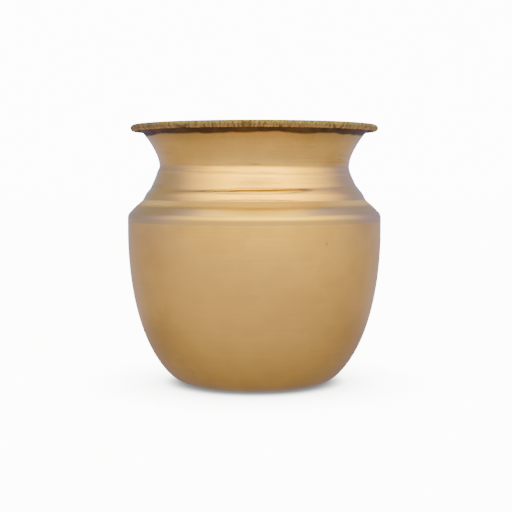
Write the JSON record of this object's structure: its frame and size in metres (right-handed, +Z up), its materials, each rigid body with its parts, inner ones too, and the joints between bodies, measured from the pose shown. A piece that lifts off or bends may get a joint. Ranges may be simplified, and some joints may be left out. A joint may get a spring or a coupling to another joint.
{
  "type": "brass kalash pot",
  "caption": "Small open kalash water pot of spun sheet brass, with a round-heeled bowl, a stepped shoulder, a narrow throat and a flaring mouth whose lip is rolled over a wire.",
  "frame": {"origin": "middle of the flat that the pot stands on", "axes": "+Z up along the pot's axis, out of the mouth; -Y towards the viewer; the pot is round, so X and Y are free"},
  "size_m": [0.1034, 0.1034, 0.105],
  "materials": {
    "bowl_brass": "spun, satin, lightly tarnished",
    "shoulder_brass": "spun, satin, with turned lines",
    "mouth_brass": "spun, satin; the rolled lip is left dark and tool-marked",
    "wire_brass": "drawn wire, dull",
    "braze": "filed flush outside, as flowed inside"
  },
  "bodies": {
    "root": {"bowl": "bowl_brass", "girth_braze": "braze", "shoulder": "shoulder_brass", "throat_braze": "braze", "mouth": "mouth_brass", "rim_wire": "wire_brass"}
  },
  "joints": []
}
